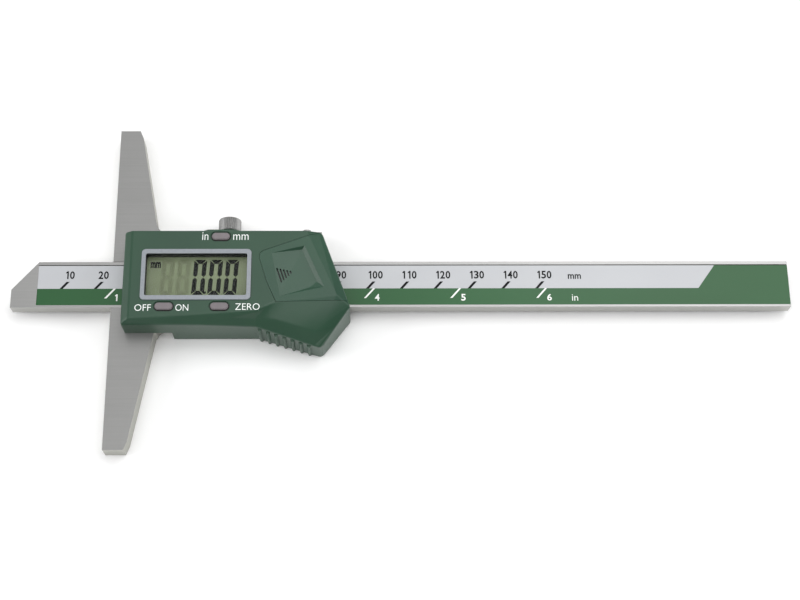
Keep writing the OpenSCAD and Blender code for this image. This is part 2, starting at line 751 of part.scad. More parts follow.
module display_holder() {
    color("#202422") at_display() difference() {
        translate([0, 0, board_top]) linear_extrude(min(bezel_low, window_low) - board_top)
            round_rect(window_w + 2 * holder_flange, window_h + 2 * holder_flange, bezel_r);
        translate([0, 0, board_top - 1]) linear_extrude(housing_top)
            square([window_w, window_h], center = true);
        translate([0, 0, board_top - 1]) linear_extrude(glass_top + 1 - board_top)
            square([window_w + 2 * holder_wall, window_h + 2 * holder_wall], center = true);
    }
}

module contact_strips() {
    color("#D08A9A") at_display() for (s = [-1, 1])
        translate([-window_w / 2 + 1, s * (window_h / 2 - 1) - contact_w / 2, board_top])
            cube([window_w - 2, contact_w, glass_low - board_top]);
}

module circuit_board() {
    color("#1E6B45") difference() {
        intersection() {
            translate([0, 0, board_low]) linear_extrude(board_thick)
                polygon([[board_x0, -housing_front], [board_x1, -housing_front], [board_x1, 3],
                    [board_x1 - 3, housing_back], [board_x0, housing_back]]);
            housing_form(wall + board_edge_gap);
        }
        for (p = housing_screw_spots) translate([p[0], p[1], 0])
            cylinder(d = boss_d + 2 * boss_clear, h = housing_top, $fn = 32);
        for (p = board_screw_spots) translate([p[0], p[1], 0])
            cylinder(d = board_screw_d + 0.2, h = housing_top, $fn = 32);
    }
}

module board_chip() {
    color("#181818") at_display() translate([0, 0, board_top])
        cylinder(d1 = chip_d, d2 = chip_d - 2 * chip_h, h = chip_h, $fn = round_fn);
}

module board_screws() {
    color("gray") for (p = board_screw_spots)
        translate([p[0], p[1], board_top + board_head_h]) mirror([0, 0, 1])
            screw_up(board_screw_d, board_thick + board_screw_l, 2.4, board_head_h);
}

function button_spot(x, y, side) = [x, y - side * stem_in];

module switch_domes() {
    color("silver") for (p = [button_spot(on_off_x, -front_button_y, -1),
            button_spot(zero_x, -front_button_y, -1), button_spot(unit_x, unit_y, 1)])
        translate([p[0], p[1], board_top]) rotate_extrude($fn = round_fn)
            polygon([[0, 0], [dome_d / 2, 0], [dome_d / 2 - 0.1, 0.08], [dome_d / 4, dome_h * 0.8],
                [0.4, dome_h], [0, dome_h]]);
}

// A button: cap, flange under the housing's top, and a stem over its switch.
// side is 1 where the wall of the housing lies behind it and -1 where it lies in front.
module button(x, y, side) {
    low = ceiling - 0.05 - flange_h;
    stem_low = board_top + dome_h + button_travel + 0.1;
    color("#8F878E") {
        translate([x, y, low + flange_h / 2]) linear_extrude(button_top - 0.3 - low - flange_h / 2)
            pill(button_l, button_w);
        translate([x, y, button_top - 0.3]) linear_extrude(0.15) pill(button_l - 0.1, button_w - 0.1);
        translate([x, y, button_top - 0.15]) linear_extrude(0.15) pill(button_l - 0.4, button_w - 0.4);
        translate([x - button_l / 2 - flange_out,
            y - (side > 0 ? button_w / 2 + flange_in : button_w / 2 + flange_back), low])
            cube([button_l + 2 * flange_out, button_w + flange_in + flange_back, flange_h]);
        translate([x, y - side * stem_in, stem_low])
            cylinder(d = stem_d, h = low + flange_h / 2 - stem_low, $fn = 32);
    }
}

module button_on_off() {
    button(on_off_x, -front_button_y, -1);
}

module button_zero() {
    button(zero_x, -front_button_y, -1);
}

module button_unit() {
    button(unit_x, unit_y, 1);
}

module battery() {
    r = cell_d / 2;
    color("#C0C4C8") translate([cell_x, cell_y, cell_low]) rotate_extrude($fn = 72)
        polygon([[0, 0], [r - 1.6, 0], [r - 1.3, 0.25], [r - 1.3, 0.7], [r - 0.4, 0.75], [r, 1.1],
            [r, cell_h - 0.35], [r - 0.35, cell_h], [0, cell_h]]);
}

module contact_spring() {
    color("#C9A55A") {
        translate([cell_x - spring_foot[0] / 2, cell_y - spring_foot[1] / 2, board_top])
            cube([spring_foot[0], spring_foot[1], spring_thick]);
        translate([cell_x - spring_boss / 2, cell_y - spring_boss / 2, board_top])
            cube([spring_boss, spring_boss, cell_low - board_top]);
    }
}

module contact_side() {
    x = cell_x - cell_d / 2;
    color("#C9A55A") {
        translate([x - side_contact_thick, cell_y - side_contact_w / 2, board_top])
            cube([side_contact_thick, side_contact_w, cell_low + cell_h / 2 - board_top]);
        translate([x - side_contact_foot, cell_y - side_contact_w / 2, board_top])
            cube([side_contact_foot - side_contact_thick / 2, side_contact_w, side_contact_thick]);
    }
}

// The shallow thumb recess of the cover: level at its left end, deep at its right end
module thumb_recess() {
    high = housing_top + 1;
    top = housing_top + 0.02;
    hull() {
        for (p = recess_rim) for (z = [top, high]) translate([p[0], p[1], z]) cube(eps, center = true);
        for (p = recess_floor) translate([p[0], p[1], housing_top - recess_end]) cube(eps, center = true);
        translate([recess_shelf[0], recess_shelf[1], housing_top - 0.8 * recess_end])
            cube(eps, center = true);
    }
}

module arrow_motif() {
    translate([arrow_base[0], arrow_base[1], 0]) rotate(cover_turn)
        for (i = [0:arrow_grooves - 1]) {
            u = 0.3 + i * arrow_pitch;
            h = arrow_half * (1 - u / (arrow_pitch * arrow_grooves + 0.3));
            translate([u - arrow_w / 2, -h, housing_top - arrow_depth - recess_end * 0.5])
                cube([arrow_w, 2 * h, 3]);
        }
}

// Tongue that holds the cover's left end down under the housing's top; c makes it larger all round
module cover_tongue(c) {
    translate([tongue_spot[0], tongue_spot[1], housing_top - cover_thick - c / 2]) rotate(cover_turn)
        translate([-tongue_l - c, -tongue_w / 2 - c, 0])
            cube([tongue_l + tongue_root + c, tongue_w + 2 * c, tongue_thick + c]);
}

module battery_cover() {
    color("#46705A") {
        difference() {
            intersection() {
                housing_form();
                cover_space(0, housing_top - cover_thick);
            }
            thumb_recess();
            arrow_motif();
        }
        cover_tongue(0);
    }
}

beam();
sensor_strip();
scale_label();
stop_plate();
stop_screws();
slider_frame();
gib_strip();
gib_screws();
lock_screw();
housing();
housing_screws();
display_bezel();
display_window();
display_glass();
display_holder();
contact_strips();
circuit_board();
board_chip();
board_screws();
switch_domes();
button_on_off();
button_zero();
button_unit();
battery();
contact_spring();
contact_side();
battery_cover();
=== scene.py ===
# Looks of the digital depth caliper, in the order in which the tool is put together.
# Lengths in this file are millimetres unless a name ends in _m, and MM turns them to metres.
import math

import bpy
import numpy as np
from mathutils import Matrix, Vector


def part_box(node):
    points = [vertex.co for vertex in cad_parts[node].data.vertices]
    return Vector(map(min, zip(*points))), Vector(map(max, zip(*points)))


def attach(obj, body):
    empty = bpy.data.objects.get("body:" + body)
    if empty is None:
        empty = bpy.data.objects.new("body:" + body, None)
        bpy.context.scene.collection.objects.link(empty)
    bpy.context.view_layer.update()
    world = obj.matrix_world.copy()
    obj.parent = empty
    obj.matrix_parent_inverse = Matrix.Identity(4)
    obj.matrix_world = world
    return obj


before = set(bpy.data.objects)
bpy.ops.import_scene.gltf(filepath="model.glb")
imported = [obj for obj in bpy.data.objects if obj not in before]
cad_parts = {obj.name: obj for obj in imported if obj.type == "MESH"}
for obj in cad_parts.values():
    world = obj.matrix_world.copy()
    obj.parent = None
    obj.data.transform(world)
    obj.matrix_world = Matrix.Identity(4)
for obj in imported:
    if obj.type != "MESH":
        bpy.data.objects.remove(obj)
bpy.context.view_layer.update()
MM = 0.001


# Beam: a flat bar of hardened stainless steel, ground along its length, with a shallow recess for its scale.
# The long grinding lines catch the light. Its upright faces get a lighter copy of the steel, matched to the
# photograph: painted light, for the bright table that they mirror.
# The stop plate at its far end is a piece of the same steel, held by two screws from below.
def linear(hex_colour):
    """Linear colour of an sRGB hex value: the inverse of the sRGB curve on each channel."""
    channels = [int(hex_colour[i:i + 2], 16) / 255 for i in (1, 3, 5)]
    return tuple(c / 12.92 if c <= 0.04045 else ((c + 0.055) / 1.055) ** 2.4 for c in channels) + (1.0,)


def add(material, kind, inputs=None, **settings):
    """Add a node of one kind. settings set its properties; inputs fill its sockets with values or links."""
    node = material.node_tree.nodes.new(kind)
    for name, value in settings.items():
        setattr(node, name, value)
    for name, value in (inputs or {}).items():
        if isinstance(value, bpy.types.NodeSocket):
            material.node_tree.links.new(value, node.inputs[name])
        else:
            node.inputs[name].default_value = value
    return node


def shaded(name, **sockets):
    """A new material with one Principled shader whose sockets are set; returns material and shader."""
    material = bpy.data.materials.new(name)
    material.use_nodes = True
    shader = next(n for n in material.node_tree.nodes if n.type == "BSDF_PRINCIPLED")
    for socket, value in sockets.items():
        shader.inputs[socket.replace("_", " ")].default_value = value
    return material, shader


def grain(material, size, stretch=(1, 1, 1), detail=3.0):
    """Noise in the piece's own place: grains of a size in millimetres, stretched along X, Y and Z."""
    place = add(material, "ShaderNodeTexCoord")
    scale = [1 / (size * MM * s) for s in stretch]
    mapping = add(material, "ShaderNodeMapping", {"Vector": place.outputs["Object"], "Scale": scale})
    noise = add(material, "ShaderNodeTexNoise",
                {"Vector": mapping.outputs["Vector"], "Scale": 1.0, "Detail": detail, "Roughness": 0.6})
    return noise.outputs["Fac"]


def coat(material, shader, patches, dark, light, texture=None, gloss=None, raised=0.0):
    """Give a material its surface. Its colour runs from dark to light as the patches run over the middle
    of their range, its roughness runs over the two values of gloss with the texture in the same way, and
    the texture stands up by raised millimetres."""
    link = material.node_tree.links.new
    middle = {"From Min": 0.3, "From Max": 0.7}
    share = add(material, "ShaderNodeMapRange", {"Value": patches, **middle})
    mixed = add(material, "ShaderNodeMix", {0: share.outputs["Result"]}, data_type="RGBA")
    first, second = (socket for socket in mixed.inputs if socket.type == "RGBA")
    first.default_value, second.default_value = linear(dark), linear(light)
    link(next(socket for socket in mixed.outputs if socket.type == "RGBA"), shader.inputs["Base Color"])
    if gloss:
        rough = add(material, "ShaderNodeMapRange",
                    {"Value": texture, **middle, "To Min": gloss[0], "To Max": gloss[1]})
        link(rough.outputs["Result"], shader.inputs["Roughness"])
    if raised:
        bump = add(material, "ShaderNodeBump", {"Height": texture, "Distance": raised * MM, "Strength": 1.0})
        link(bump.outputs["Normal"], shader.inputs["Normal"])


def ground_steel(name, dark, light, lines, roughness):
    """Ground stainless steel: a bright metal with long lines along X, over a faint cloudiness. The lines
    are a few tenths of a millimetre wide, coarser than real ones, so that they show."""
    material, shader = shaded(name, Metallic=1.0)
    line_length, line_share, line_depth, cloud_size = 60, 0.65, 0.0006, 14
    fine = grain(material, lines, (line_length, 1, 1))
    cloud = grain(material, cloud_size, (2, 1, 1), 2.0)
    clouded = add(material, "ShaderNodeMath", {0: cloud, 1: 1 - line_share}, operation="MULTIPLY")
    blended = add(material, "ShaderNodeMath", {0: fine, 1: line_share, 2: clouded.outputs[0]},
                  operation="MULTIPLY_ADD")
    gloss = (roughness - 0.02, roughness + 0.03)
    coat(material, shader, blended.outputs[0], dark, light, fine, gloss, line_depth)
    return material


def soften(piece, width, angle=32):
    """Machined edges: join the mesh, merge its flat faces, round the edges that are sharper than an angle
    in degrees, and shade flat what is flat. Returns the shading, which is the last of the steps."""
    flat_within, split_beyond = 0.6, 3
    weld = piece.modifiers.new("join", "WELD")
    weld.merge_threshold = 0.001 * MM
    flat = piece.modifiers.new("flat faces", "DECIMATE")
    flat.decimate_type = "DISSOLVE"
    flat.angle_limit = math.radians(flat_within)
    edge = piece.modifiers.new("edges", "BEVEL")
    edge.width = width * MM
    edge.segments = 3
    edge.limit_method = "ANGLE"
    edge.angle_limit = math.radians(angle)
    split = piece.modifiers.new("sharp", "EDGE_SPLIT")
    split.split_angle = math.radians(angle + split_beyond)
    shade = piece.modifiers.new("shade", "WEIGHTED_NORMAL")
    shade.keep_sharp = True
    return shade


def dress(names, material, edge=0.0):
    """Give CAD nodes their material, and soft edges of a width in millimetres."""
    for name in names:
        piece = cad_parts[name]
        piece.data.materials.clear()
        piece.data.materials.append(material)
        if edge:
            soften(piece, edge)


def dress_faces(name, material, chosen):
    """Give some faces of a dressed CAD node another material. chosen takes the faces' centres in
    millimetres and their normals, as columns x, y and z, and tells which ones."""
    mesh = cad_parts[name].data
    centres, normals = np.empty(3 * len(mesh.polygons)), np.empty(3 * len(mesh.polygons))
    mesh.polygons.foreach_get("center", centres)
    mesh.polygons.foreach_get("normal", normals)
    picked = chosen(centres.reshape(-1, 3).T / MM, normals.reshape(-1, 3).T)
    mesh.materials.append(material)
    mesh.polygons.foreach_set("material_index", picked.astype(np.int32))


def upright(centres, normals):
    """Faces that stand steeper than 60 degrees, wherever their centres are."""
    return np.abs(normals[2]) < 0.5


beam_lines, beam_roughness = 0.3, 0.33
beam_steel = ground_steel("ground_stainless", "#959594", "#9D9D9C", beam_lines, beam_roughness)
# The upright faces get the same steel painted lighter: painted light, not another finish.
beam_side_painted_light = ground_steel("beam_sides_painted_light", "#ABABA7", "#B3B3AF", beam_lines, beam_roughness)
dress(["beam", "stop_plate"], beam_steel, edge=0.12)
dress_faces("beam", beam_side_painted_light, upright)


# Scale: a strip of laminate with the sensor's pattern, glued into the beam's recess.
# The printed film on it is white and green, smooth and slightly glossy; its marks and numbers are duller
# ink. Millimetres stand above the line in black, inches below it in white.
def new_piece(name, points, faces, material, body):
    """A mesh from arrays of points in millimetres and faces; it rides on a body at once."""
    mesh = bpy.data.meshes.new(name)
    mesh.from_pydata(np.asarray(points, float) * MM, [], [list(f) for f in faces])
    mesh.validate()
    mesh.update()
    mesh.materials.append(material)
    piece = bpy.data.objects.new(name, mesh)
    bpy.context.scene.collection.objects.link(piece)
    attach(piece, body)


def finish(name, dark, light, patch, stretch=(1, 1, 1), detail=3.0, texture=None, gloss=None, raised=0.0,
           **sockets):
    """A material whose colour runs over patches of a size in millimetres, and whose gloss and relief
    follow a texture of a size in millimetres. sockets set the rest of its shader."""
    material, shader = shaded(name, **sockets)
    patches = grain(material, patch, stretch, detail)
    coat(material, shader, patches, dark, light, texture and grain(material, texture), gloss, raised)
    return material


def plates(outlines, low, thick):
    """Flat plates over convex outlines: each outline is a ring of points in the plane, carried from low
    to low + thick, with its two ends as one face each and its sides as a strip of quads."""
    points, faces = [], []
    for ring in outlines:
        ring = np.asarray(ring, float)
        n, base = len(ring), sum(len(p) for p in points)
        points.append(np.column_stack([ring, np.full(n, low)]))
        points.append(np.column_stack([ring, np.full(n, low + thick)]))
        k = np.arange(n)
        sides = np.column_stack([k, (k + 1) % n, n + (k + 1) % n, n + k]) + base
        faces += [list(base + k[::-1]), list(base + n + k)] + sides.tolist()
    return np.vstack(points), faces


def lettering(words, left, right, foot, cap, low, thick, bold):
    """Closed letters of ink: the words fill the width from left to right and stand cap high on foot.
    bold widens the strokes, as a share of the letters' size."""
    half_depth = 0.5
    curve = bpy.data.curves.new("letters", "FONT")
    curve.body = words
    curve.extrude = half_depth
    curve.offset = bold
    curve.resolution_u = 3
    text = bpy.data.objects.new("letters", curve)
    bpy.context.scene.collection.objects.link(text)
    bpy.context.view_layer.update()
    flat = bpy.data.meshes.new_from_object(text.evaluated_get(bpy.context.evaluated_depsgraph_get()))
    points = np.zeros(len(flat.vertices) * 3)
    flat.vertices.foreach_get("co", points)
    points = points.reshape(-1, 3)
    faces = [list(p.vertices) for p in flat.polygons]
    bpy.data.objects.remove(text)
    bpy.data.curves.remove(curve)
    bpy.data.meshes.remove(flat)
    low_x, high_x = points[:, 0].min(), points[:, 0].max()
    low_y, high_y = points[:, 1].min(), points[:, 1].max()
    x = left + (points[:, 0] - low_x) / (high_x - low_x) * (right - left)
    y = foot + (points[:, 1] - low_y) / (high_y - low_y) * cap
    z = low + (points[:, 2] + half_depth) * thick
    return np.column_stack([x, y, z]), faces


def number(digits, middle, foot, cap, width, low, thick):
    """Digits in even cells round a middle, as on the printed scale. A one is a stem with a short flag,
    to the right of its cell's middle; every other digit is a letter that fills its cell but for a gap."""
    half_letter, letter_bold = 0.44 * width, 0.024
    stem_offset, half_stem, flag = 0.2 * width, 0.13 * width, 0.37 * width
    top = foot + cap
    parts = []
    for k, character in enumerate(digits):
        centre = middle + width * (k - (len(digits) - 1) / 2)
        if character != "1":
            parts.append(lettering(character, centre - half_letter, centre + half_letter, foot, cap, low,
                                   thick, letter_bold))
            continue
        stem = centre + stem_offset
        left, right = stem - half_stem, stem + half_stem
        parts.append(plates([[[left, foot], [right, foot], [right, top], [left, top]],
                             [[stem - flag, top - 0.3 * cap], [left, top - 0.24 * cap], [left, top],
                              [stem - flag, top - 0.17 * cap]]], low, thick))
    return parts


def together(parts):
    """One set of points and faces from several."""
    points, faces, base = [], [], 0
    for p, f in parts:
        points.append(p)
        faces += [[v + base for v in face] for face in f]
        base += len(p)
    return np.vstack(points), faces


# The film's place comes from its node; ink is drawn thicker than it is, so that it shows no gaps.
(left, front, _), (right, back, film_top) = (np.array(corner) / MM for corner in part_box("scale_label"))
ink_thick = 0.012
film_texture, film_relief = 0.4, 0.002
film = finish("printed_white_film", "#B4B6BA", "#BBBDC0", patch=22, stretch=(2, 1, 1), detail=2.0,
              texture=film_texture, raised=film_relief, Roughness=0.26, IOR=1.5)
dress(["scale_label"], film)

colour_line_y = -1.27
colour_end = [[173.1, colour_line_y], [178.3, back]]
field_outlines = [
    [[left, front], [colour_end[0][0], front], colour_end[0], [left, colour_line_y]],
    [[colour_end[0][0], front], [right, front], [right, back], colour_end[1], colour_end[0]],
]
green_ink = finish("printed_green_ink", "#20512A", "#265A31", patch=35, stretch=(2, 1, 1), detail=2.0,
                   texture=film_texture, raised=film_relief, Roughness=0.28, IOR=1.5, Specular_IOR_Level=0.35)
points, faces = plates(field_outlines, film_top, ink_thick)
new_piece("scale_green_field", points, faces, green_ink, "beam")

# Marks: one each 10 mm and each inch, counted from zeros left of the base that have no mark themselves.
mm_step, mm_count, mm_zero = 10, 15, -24.845
inch_step, inch_count, inch_zero = 25.4, 6, -24.545
mark_slant = 0.87
mm_mark_top, mm_mark_width = 0.9, 0.92
inch_mark_foot, inch_mark_width = -4.3, 0.65
black_ink = finish("printed_black_ink", "#0E0E10", "#151517", patch=1.5, Roughness=0.45, IOR=1.5,
                   Specular_IOR_Level=0.15)
white_ink = finish("printed_white_ink", "#E6E9E5", "#F0F2EE", patch=1.5, Roughness=0.45, IOR=1.5)


def mark(x, y0, y1, width):
    """One slanted mark: a parallelogram that passes x on the colour line."""
    x0, x1 = x + (y0 - colour_line_y) * mark_slant, x + (y1 - colour_line_y) * mark_slant
    return [[x0 - width / 2, y0], [x0 + width / 2, y0], [x1 + width / 2, y1], [x1 - width / 2, y1]]


mm_marks = [mark(mm_zero + mm_step * n, colour_line_y, mm_mark_top, mm_mark_width)
            for n in range(1, mm_count + 1)]
points, faces = plates(mm_marks, film_top, 2 * ink_thick)
new_piece("scale_marks_mm", points, faces, black_ink, "beam")

inch_marks = [mark(inch_zero + inch_step * n, inch_mark_foot, colour_line_y, inch_mark_width)
              for n in range(1, inch_count + 1)]
points, faces = plates(inch_marks, film_top + ink_thick, ink_thick)
new_piece("scale_marks_inch", points, faces, white_ink, "beam")

# Numbers: they stand to the right of their marks, the first inch a little nearer than the others.
mm_offset, inch_offset, first_inch_offset = 2.2, 0.95, 0.45
parts = [lettering("mm", left=134.5, right=138.4, foot=1.65, cap=1.5, low=film_top, thick=ink_thick,
                   bold=0.02)]
for n in range(1, mm_count + 1):
    parts += number(str(mm_step * n), mm_zero + mm_step * n + mm_offset, foot=1.78, cap=2.45, width=1.6,
                    low=film_top, thick=ink_thick)
points, faces = together(parts)
new_piece("scale_numbers_mm", points, faces, black_ink, "beam")

parts = [lettering("in", left=135.45, right=137.25, foot=-5.2, cap=1.95, low=film_top + ink_thick,
                   thick=ink_thick, bold=0.0)]
for n in range(1, inch_count + 1):
    middle = inch_zero + inch_step * n + (first_inch_offset if n == 1 else inch_offset)
    parts += number(str(n), middle, foot=-5.15, cap=2.1, width=1.55, low=film_top + ink_thick,
                    thick=ink_thick)
points, faces = together(parts)
new_piece("scale_numbers_inch", points, faces, white_ink, "beam")

# Laminate: glass fibre in green resin, faintly mottled under a clear lacquer that shines.
laminate = finish("green_laminate", "#1F4A2C", "#2C5C36", patch=0.6, Roughness=0.4, IOR=1.5, Coat_Weight=0.5)
dress(["sensor_strip", "circuit_board"], laminate)


# Base and slider frame: one piece of stainless steel, milled, hardened and surface ground.
# Its top is satin and a little darker than the beam. Its upright faces, the measuring face among them,
# get a lighter copy of the steel, matched to the photograph: painted light, for the bright table they mirror.
frame_lines, frame_roughness = 0.35, 0.42
frame_steel = ground_steel("satin_stainless", "#898988", "#90908F", frame_lines, frame_roughness)
# The upright faces get the same steel painted lighter: painted light, not another finish.
frame_side_painted_light = ground_steel("frame_sides_painted_light", "#ADADA6", "#B5B5AE", frame_lines, frame_roughness)
dress(["slider_frame"], frame_steel, edge=0.1)
dress_faces("slider_frame", frame_side_painted_light, upright)


# Gib: a bronze strip in a slot of the frame, pressed on the beam by two headless screws.
# The bronze is golden brown, with faint lines along it. The screws under the tool and in the board are
# dark steel with a plain turned finish, so that they hardly shine.
bronze = finish("gib_bronze", "#A8824A", "#BD965A", patch=0.5, stretch=(20, 1, 1), texture=0.8,
                gloss=(0.3, 0.42), Metallic=1.0)
dress(["gib_strip"], bronze)

screw_steel = finish("dark_screw_steel", "#5E5E60", "#77777A", patch=0.4, texture=0.4, gloss=(0.3, 0.45),
                     Metallic=1.0)
dress(["stop_screws", "housing_screws", "board_screws"], screw_steel, edge=0.05)


# Lock screw: turned from stainless bar, with a straight knurl rolled into its head. The steel is duller
# than the beam's. Its end clamps the gib, and the gib clamps the beam. The gib's own two screws are the
# same steel.
knob_steel = finish("knurled_stainless", "#8E8E8D", "#9C9C9B", patch=0.5, texture=0.6, gloss=(0.42, 0.5),
                    Metallic=1.0)
dress(["lock_screw", "gib_screws"], knob_steel, edge=0.03)


# Housing and battery cover: green ABS, injection moulded in a finely spark-eroded tool.
# The surface is satin, with a fine even grain and soft edges; four screws hold it from below.
def moulded_green(name, dark, light):
    """Moulded green plastic with a fine grain of about 0.2 mm, drawn as 0.3 mm so that it shows."""
    return finish(name, dark, light, patch=18, detail=2.0, texture=0.3, gloss=(0.31, 0.4), raised=0.004,
                  IOR=1.53)


housing_green = moulded_green("green_abs", "#163D29", "#1A422C")
cover_green = moulded_green("green_abs_cover", "#1A402E", "#1E4631")
dress(["housing"], housing_green)
dress(["battery_cover"], cover_green, edge=0.06)

# The arrow's grooves are deep and narrow. They get a darker green as painted shade,
# so that they read as deep shadow.
groove_painted_shade = moulded_green("green_abs_groove_painted_shade", "#08140D", "#0B1A11")
arrow_x, arrow_y = (47, 54.3), (-4, 3.4)
cover_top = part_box("battery_cover")[1][2] / MM
groove_mouth, groove_floor, groove_foot = cover_top - 0.1, cover_top - 0.9, cover_top - 0.95


def in_arrow(centres, normals):
    """The walls and floors of the arrow's grooves: faces below their mouth that stand almost upright, and
    faces that lie at their floor's height."""
    x, y, z = centres
    near = (x > arrow_x[0]) & (x < arrow_x[1]) & (y > arrow_y[0]) & (y < arrow_y[1])
    wall = (np.abs(normals[2]) < 0.3) & (z > groove_foot)
    bottom = np.abs(z - groove_floor) < 0.04
    return near & (z < groove_mouth) & (wall | bottom)


dress_faces("battery_cover", groove_painted_shade, in_arrow)

# The thumb grip's slopes run into each other: there the shading follows the curve from crease to crease,
# and elsewhere it keeps the flat faces flat.
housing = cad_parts["housing"]
grip_left, grip_back, grip_low = 42.0, -8.0, 5.0


def on_grip(parts, field):
    """Which of the mesh's vertices or faces lie on the thumb grip; field names where their place is kept."""
    places = np.empty(3 * len(parts))
    parts.foreach_get(field, places)
    x, y, z = places.reshape(-1, 3).T / MM
    return (x > grip_left) & (y < grip_back) & (z > grip_low)


smooth = np.empty(len(housing.data.polygons), bool)
housing.data.polygons.foreach_get("use_smooth", smooth)
housing.data.polygons.foreach_set("use_smooth", smooth | on_grip(housing.data.polygons, "center"))
grip_points = np.flatnonzero(on_grip(housing.data.vertices, "co")).tolist()
housing.vertex_groups.new(name="grip").add(grip_points, 1.0, "REPLACE")
housing_shade = soften(housing, width=0.3, angle=24)
housing_shade.vertex_group = "grip"
housing_shade.invert_vertex_group = True


# Words beside the keys: white ink, pad printed on the housing's top.
# The ink is even and a little rough, and its strokes are slightly finer than the letters' own.
print_thick, print_bold = 0.015, -0.006
housing_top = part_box("housing")[1][2] / MM
print_ink = finish("pad_print_white", "#EDF0EE", "#F6F8F7", patch=1.2, Roughness=0.5, IOR=1.5)
words_in_place = [("in", 27.1, 28.85, 10.3, 2.4), ("mm", 36.1, 40.55, 10.3, 1.7),
                  ("OFF", 8.5, 13.2, -11.6, 2.0), ("ON", 20.2, 23.9, -11.6, 2.0),
                  ("ZERO", 37.3, 44.3, -11.35, 2.0)]
points, faces = together([lettering(words, left, right, foot, cap, housing_top, print_thick, print_bold)
                          for words, left, right, foot, cap in words_in_place])
new_piece("key_words", points, faces, print_ink, "slider")


# Display: a silver painted bezel round a clear acrylic window, over a liquid crystal cell.
# The paint is satin with a weak metallic sheen, and the window mirrors the lights faintly. The cell lies
# deep under it in a dull black frame, and its polariser looks olive grey.
bezel_paint = finish("silver_paint", "#858A90", "#8F949A", patch=0.5, texture=0.4, gloss=(0.36, 0.46),
                     Metallic=0.35, IOR=1.5)
dress(["display_bezel"], bezel_paint, edge=0.16)

acrylic, _ = shaded("clear_acrylic", Base_Color=linear("#1A1F1D"), Roughness=0.03, IOR=1.49, Alpha=0.12)
dress(["display_window"], acrylic)

black_plastic = finish("black_plastic", "#0E0F0F", "#17181A", patch=0.5, texture=0.3, gloss=(0.4, 0.55),
                       IOR=1.5)
dress(["display_holder", "board_chip"], black_plastic)

cell_glass = finish("liquid_crystal_cell", "#8A9874", "#97A580", patch=9, detail=2.0, IOR=1.52,
                    Roughness=0.22)
dress(["display_glass"], cell_glass)

# Contact strips: dull pink rubber with fine bands of conductor across it, about 0.1 mm wide.
contact_rubber = finish("contact_rubber", "#8C4F5A", "#C88A94", patch=0.4, stretch=(0.2, 4, 4), Roughness=0.6)
dress(["contact_strips"], contact_rubber)

# Digits: three lit ones, and two unlit ones to the left of them, all leaning and in even steps. Lit
# segments look nearly black, and unlit ones a little darker than the cell.
digit_left, digit_step, digit_foot = 24.12, 4.64, -5.68
digit_width, digit_height, digit_stroke, digit_slant = 3.7, 10.85, 1.28, 0.06
segment_thick, faint_thick = 0.01, 0.006
ZERO = (0, 1, 2, 4, 5, 6)
EIGHT = range(7)
CLOCKWISE = (0, 1, 3, 5)


def digit(lit, left):
    """Outlines of the lit segments of one digit, in the order top, upper left, upper right, middle, lower
    left, lower right, bottom. The outer six are bars mitred at the corners; the middle one is pointed.
    Those drawn clockwise are turned round, and the slant moves each point right by a share of its height."""
    w, h, s, gap, waist, cut = digit_width, digit_height / 2, digit_stroke, 0.05, 0.08, 0.22
    top = np.array([[gap + cut, h], [w - gap - cut, h], [w - s - gap, h - s], [s + gap, h - s]])
    upper = np.array([[0, h - gap - cut], [s, h - s - gap], [s, waist + s / 2], [s / 2, waist],
                      [0, waist + s / 2]])
    middle = np.array([[s / 2 + waist, 0], [s + waist, s / 2], [w - s - waist, s / 2], [w - s / 2 - waist, 0],
                       [w - s - waist, -s / 2], [s + waist, -s / 2]])
    mirrored, lowered = [-1, 1], [1, -1]
    rings = [top, upper, upper * mirrored + [w, 0], middle, upper * lowered, -upper + [w, 0], top * lowered]
    outlines = []
    for segment in lit:
        ring = rings[segment] + [0, h]
        if segment in CLOCKWISE:
            ring = ring[::-1]
        ring = ring + np.column_stack([ring[:, 1] * digit_slant, 0 * ring[:, 1]])
        outlines.append(ring + [left, digit_foot])
    return outlines


cell_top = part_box("display_glass")[1][2] / MM
segment_ink = finish("crystal_dark", "#060A06", "#0A0F0A", patch=2, Roughness=0.3, IOR=1.5,
                     Specular_IOR_Level=0.2)
decimal_point = [[27.6, -5.4], [28.35, -5.4], [28.45, -4.65], [27.7, -4.65]]
lit_segments = [ring for k in (0, 1, 2) for ring in digit(ZERO, digit_left + k * digit_step)]
points, faces = plates(lit_segments + [decimal_point], cell_top, segment_thick)
new_piece("display_digits", points, faces, segment_ink, "slider")

faint_ink = finish("crystal_faint", "#75815F", "#808B69", patch=2, Roughness=0.3, IOR=1.5)
faint_segments = [ring for k in (-1, -2) for ring in digit(EIGHT, digit_left + k * digit_step)]
points, faces = plates(faint_segments, cell_top, faint_thick)
new_piece("display_faint_digits", points, faces, faint_ink, "slider")

points, faces = lettering("mm", left=12.05, right=15.05, foot=2.62, cap=1.95, low=cell_top,
                          thick=segment_thick, bold=0.05)
new_piece("display_unit", points, faces, segment_ink, "slider")


# Keys: moulded grey-mauve plastic caps that stand just above the housing, each over a snap dome.
# Their fine grain makes them satin. The domes are bright spring steel on the board.
key_plastic = finish("grey_key_plastic", "#6D6669", "#777073", patch=3, texture=0.3, gloss=(0.42, 0.54),
                     raised=0.005, IOR=1.5)
dress(["button_on_off", "button_zero", "button_unit"], key_plastic, edge=0.35)

dome_steel = finish("dome_steel", "#B9B9BA", "#CFCFD0", patch=0.3, texture=0.3, gloss=(0.18, 0.28),
                    Metallic=1.0)
dress(["switch_domes"], dome_steel)


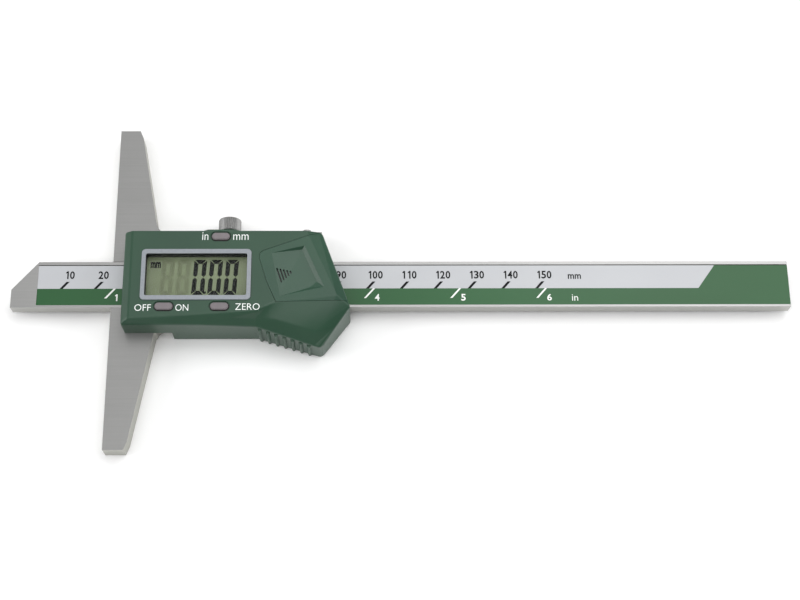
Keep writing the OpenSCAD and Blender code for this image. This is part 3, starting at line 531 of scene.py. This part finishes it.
# Button cell and its contacts: a nickel-plated steel can between two gold-plated brass springs.
# The plating is bright and smooth, with only a faint mottling.
can_nickel = finish("nickel_plate", "#B5B6B8", "#C8C9CB", patch=0.4, texture=0.5, gloss=(0.2, 0.3),
                    Metallic=1.0)
dress(["battery"], can_nickel, edge=0.08)

contact_gold = finish("gold_plated_brass", "#C29A4E", "#D6B066", patch=0.4, texture=0.4, gloss=(0.22, 0.32),
                      Metallic=1.0)
dress(["contact_spring", "contact_side"], contact_gold)


# Studio: a white table under soft light. Softboxes hang over the table and in rings round it, and the two
# strongest stand low, on the right and on the left, so that upright faces are bright and shadows pale.
# Their strengths were fitted to the photograph's brightness.
reach_m = 3.0
corners_m = [(-reach_m, -reach_m, 0), (reach_m, -reach_m, 0), (reach_m, reach_m, 0), (-reach_m, reach_m, 0)]
floor_mesh = bpy.data.meshes.new("table")
floor_mesh.from_pydata(corners_m, [], [(0, 1, 2, 3)])
floor = bpy.data.objects.new("table", floor_mesh)
bpy.context.scene.collection.objects.link(floor)
floor.location.z = -0.02 * MM
paper, _ = shaded("white_table", Base_Color=linear("#FCFCFC"), Roughness=0.9)
floor.data.materials.append(paper)


def softbox(elevation, azimuth, radiance, side_m=0.85, distance_m=1.5, aim_m=(0.07, 0, 0)):
    """A square light of an even brightness that faces the tool. azimuth counts from behind the tool, by
    its right; the power is radiance times pi times the light's area."""
    e, a = math.radians(elevation), math.radians(azimuth)
    away = np.array([math.cos(e) * math.sin(a), math.cos(e) * math.cos(a), math.sin(e)])
    light = bpy.data.lights.new("softbox", "AREA")
    light.size = side_m
    light.energy = radiance * math.pi * side_m ** 2
    lamp = bpy.data.objects.new("softbox", light)
    bpy.context.scene.collection.objects.link(lamp)
    nearly_back = (0.01, 1, 0.02)
    level = np.cross(nearly_back, away)
    level /= np.linalg.norm(level)
    up = np.cross(away, level)
    place = np.array(aim_m) + away * distance_m
    lamp.matrix_world = Matrix([[level[i], up[i], away[i], place[i]] for i in range(3)] + [[0, 0, 0, 1]])


lights = [(90, 0, 1.3), (58, 0, 0.8), (58, 45, 2.3), (58, 225, 1.6), (58, 315, 0.3), (25, 0, 1.2),
          (25, 90, 3.4), (25, 180, 0.3), (25, 270, 3.3)]
for elevation, azimuth, radiance in lights:
    softbox(elevation, azimuth, radiance)

room_light = 0.4
world = bpy.data.worlds.new("room")
world.use_nodes = True
background = world.node_tree.nodes["Background"]
background.inputs["Color"].default_value = (1, 1, 1, 1)
background.inputs["Strength"].default_value = room_light
bpy.context.scene.world = world
bpy.context.scene.view_settings.view_transform = "Standard"


# Camera: where the photograph was taken from, worked out from the scale's marks and the base.
# It looks down at 70 degrees from the front, with the lens of a short telephoto.
pitch, yaw, roll = (math.radians(a) for a in (19.95249, 0.9969, 0.085))
camera_place_m = (0.076975, -0.15654, 0.423537)


def turn(axis, angle):
    """Rotation matrix that takes the object's directions to the camera's, about one axis."""
    c, s = math.cos(angle), math.sin(angle)
    return np.array({"x": [[1, 0, 0], [0, c, s], [0, -s, c]], "y": [[c, 0, s], [0, 1, 0], [-s, 0, c]],
                     "z": [[c, -s, 0], [s, c, 0], [0, 0, 1]]}[axis])


facing = (turn("z", roll) @ turn("y", yaw) @ turn("x", pitch)).T
camera = bpy.data.objects.new("camera", bpy.data.cameras.new("camera"))
camera.data.lens = 67.972
camera.data.sensor_width = 36
camera.data.clip_start = 0.01
bpy.context.scene.collection.objects.link(camera)
camera.matrix_world = Matrix([list(facing[i]) + [camera_place_m[i]] for i in range(3)] + [[0, 0, 0, 1]])
bpy.context.scene.camera = camera
